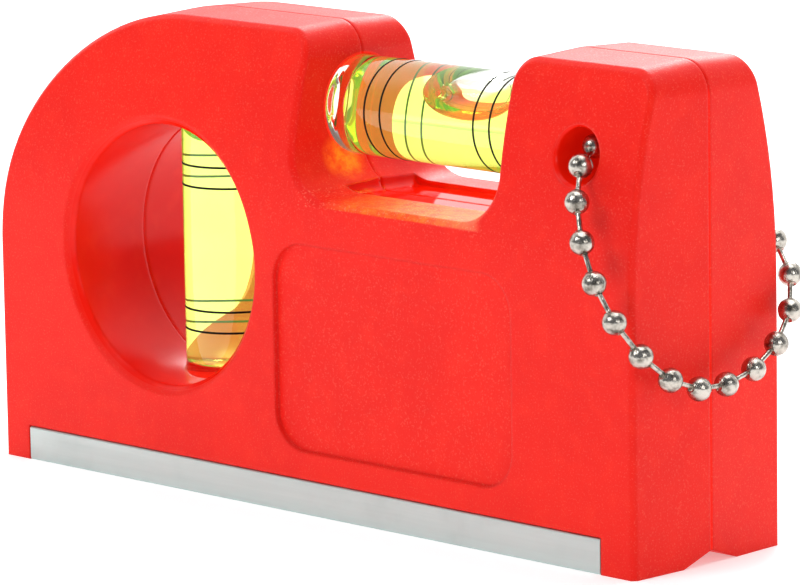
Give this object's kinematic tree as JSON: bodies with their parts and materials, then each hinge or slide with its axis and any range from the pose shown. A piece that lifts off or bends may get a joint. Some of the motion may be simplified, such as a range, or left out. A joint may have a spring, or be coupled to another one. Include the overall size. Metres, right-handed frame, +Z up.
{
  "type": "pocket spirit level",
  "caption": "Small hand level of two moulded halves, with a plumb vial in a round window, a level vial in a notch, metal base edges and a ball chain.",
  "frame": {"origin": "middle of the vee's mouth, which is the middle of the base along its length and across its thickness, in the plane of the base's two flats", "axes": "+X along the base towards the squared end with the chain, -Y out of the face with the sunken panel, +Z up from the base"},
  "size_m": [0.0975, 0.0311, 0.05],
  "materials": {
    "red_plastic": "fine moulded grain",
    "strip_metal": "bare, lightly dented",
    "clear_acrylic": "clear, polished",
    "black_ink": "printed",
    "green_liquid": "clear, tinted",
    "air": "clear",
    "plated_steel": "nickel plated, bright"
  },
  "bodies": {
    "level": {"front_shell": "red_plastic", "rear_shell": "red_plastic", "front_edge_strip": "strip_metal", "rear_edge_strip": "strip_metal", "cross_vial_tube": "clear_acrylic", "cross_vial_plug": "clear_acrylic", "cross_vial_lines": "black_ink", "cross_vial_liquid": "green_liquid", "plumb_vial_tube": "clear_acrylic", "plumb_vial_plug": "clear_acrylic", "plumb_vial_lines": "black_ink", "plumb_vial_liquid": "green_liquid"},
    "cross_bubble": {"cross_vial_bubble": "air"},
    "plumb_bubble": {"plumb_vial_bubble": "air"},
    "chain": {"chain_beads": "plated_steel", "chain_links": "plated_steel", "chain_clasp": "plated_steel"}
  },
  "joints": [
    {"name": "cross_bubble_slide", "type": "slide", "parent": "level", "child": "cross_bubble", "axis": [1, 0, 0], "range_m": [-0.0087, 0.0052], "stiffness_N_per_m": 2, "springref_m": -0.0027, "deforming": ["cross_vial_liquid"]},
    {"name": "plumb_bubble_slide", "type": "slide", "parent": "level", "child": "plumb_bubble", "axis": [0, 0, 1], "range_m": [-0.0233, 0], "stiffness_N_per_m": 2, "springref_m": 0.005, "deforming": ["plumb_vial_liquid"]},
    {"name": "chain_swing", "type": "hinge", "parent": "level", "child": "chain", "pos_m": [0.03785, 0, 0.0409], "axis": [0, -1, 0], "range_deg": [0, 220]}
  ]
}
